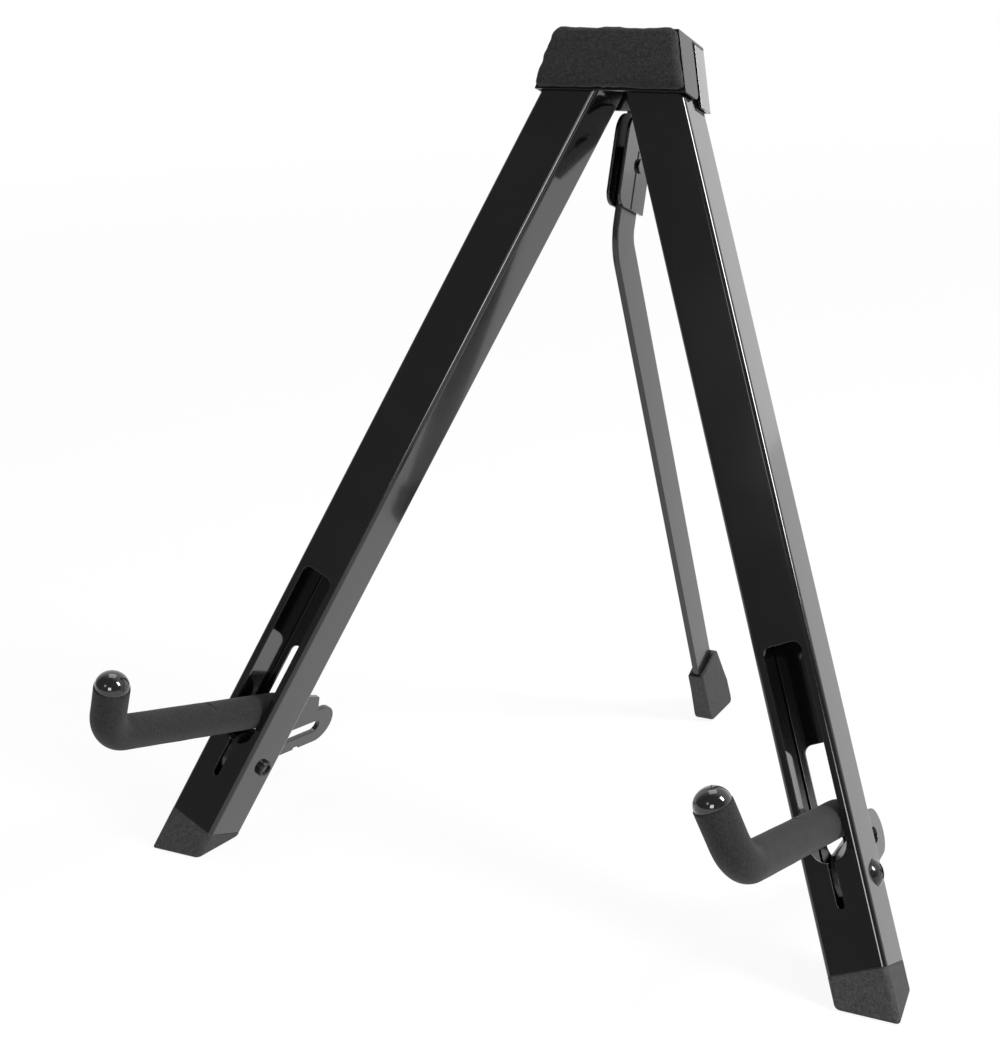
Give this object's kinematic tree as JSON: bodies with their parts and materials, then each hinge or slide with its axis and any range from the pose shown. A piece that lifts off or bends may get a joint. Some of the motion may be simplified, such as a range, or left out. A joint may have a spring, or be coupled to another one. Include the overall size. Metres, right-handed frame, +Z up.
{
  "type": "folding guitar stand",
  "caption": "Folding A-frame stand for a guitar, with slotted box legs, a padded head, a swing-out rear leg and foam-sleeved cradle arms that slide out and fold up.",
  "frame": {"origin": "on the floor, in the middle of the stand's bounding box", "axes": "+X to the stand's right as seen from the front, +Y to the rear leg, with the cradle arms pointing to -Y, +Z up"},
  "size_m": [0.358, 0.3408, 0.3611],
  "materials": {
    "black_paint": "gloss",
    "black_hardware": "semi-gloss",
    "bushing": "satin",
    "foam": "matte foam",
    "rubber": "matte",
    "cap_plastic": "gloss"
  },
  "bodies": {
    "head": {"head_front_shell": "black_paint", "head_rear_shell": "black_paint", "head_pad": "foam", "left_leg_rivet": "black_hardware", "right_leg_rivet": "black_hardware", "rear_bracket": "black_paint", "rear_leg_pin": "black_hardware"},
    "left_leg": {"left_leg_tube": "black_paint", "left_foot_plug": "rubber", "left_pivot_screw": "black_hardware", "left_pivot_nut": "black_hardware"},
    "left_slider": {"left_outer_bush": "bushing", "left_inner_bush": "bushing"},
    "left_arm": {"left_arm_plate": "black_paint", "left_arm_rod": "black_paint", "left_foam_sleeve": "foam", "left_end_cap": "cap_plastic"},
    "right_leg": {"right_leg_tube": "black_paint", "right_foot_plug": "rubber", "right_pivot_screw": "black_hardware", "right_pivot_nut": "black_hardware"},
    "right_slider": {"right_outer_bush": "bushing", "right_inner_bush": "bushing"},
    "right_arm": {"right_arm_plate": "black_paint", "right_arm_rod": "black_paint", "right_foam_sleeve": "foam", "right_end_cap": "cap_plastic"},
    "rear_leg": {"rear_leg_bar": "black_paint", "rear_boot": "rubber"}
  },
  "joints": [
    {"name": "left_leg_fold", "type": "hinge", "parent": "head", "child": "left_leg", "pos_m": [-0.01475, 0.04875, 0.34677], "axis": [0, -0.9272, 0.3746], "range_deg": [0, 16.5]},
    {"name": "left_arm_swing", "type": "hinge", "parent": "left_leg", "child": "left_slider", "pos_m": [-0.14574, -0.05879, 0.04054], "axis": [-0.9272, 0.1403, 0.3473], "range_deg": [0, 70]},
    {"name": "left_arm_slide", "type": "slide", "parent": "left_slider", "child": "left_arm", "axis": [-0.1095, -0.9882, 0.1069], "range_m": [0, 0.05]},
    {"name": "right_leg_fold", "type": "hinge", "parent": "head", "child": "right_leg", "pos_m": [0.01475, 0.04875, 0.34677], "axis": [0, 0.9272, -0.3746], "range_deg": [0, 16.5]},
    {"name": "right_arm_swing", "type": "hinge", "parent": "right_leg", "child": "right_slider", "pos_m": [0.14574, -0.05879, 0.04054], "axis": [-0.9272, -0.1403, -0.3473], "range_deg": [0, 70]},
    {"name": "right_arm_slide", "type": "slide", "parent": "right_slider", "child": "right_arm", "axis": [0.1095, -0.9882, 0.1069], "range_m": [0, 0.05]},
    {"name": "rear_leg_fold", "type": "hinge", "parent": "head", "child": "rear_leg", "pos_m": [0, 0.06512, 0.29917], "axis": [-1, 0, 0], "range_deg": [0, 42]}
  ],
  "couplings": [
    {"joint": "left_arm_slide", "follows": "left_arm_swing", "m_per_rad": 0.04092},
    {"joint": "right_arm_slide", "follows": "right_arm_swing", "m_per_rad": 0.04092}
  ]
}
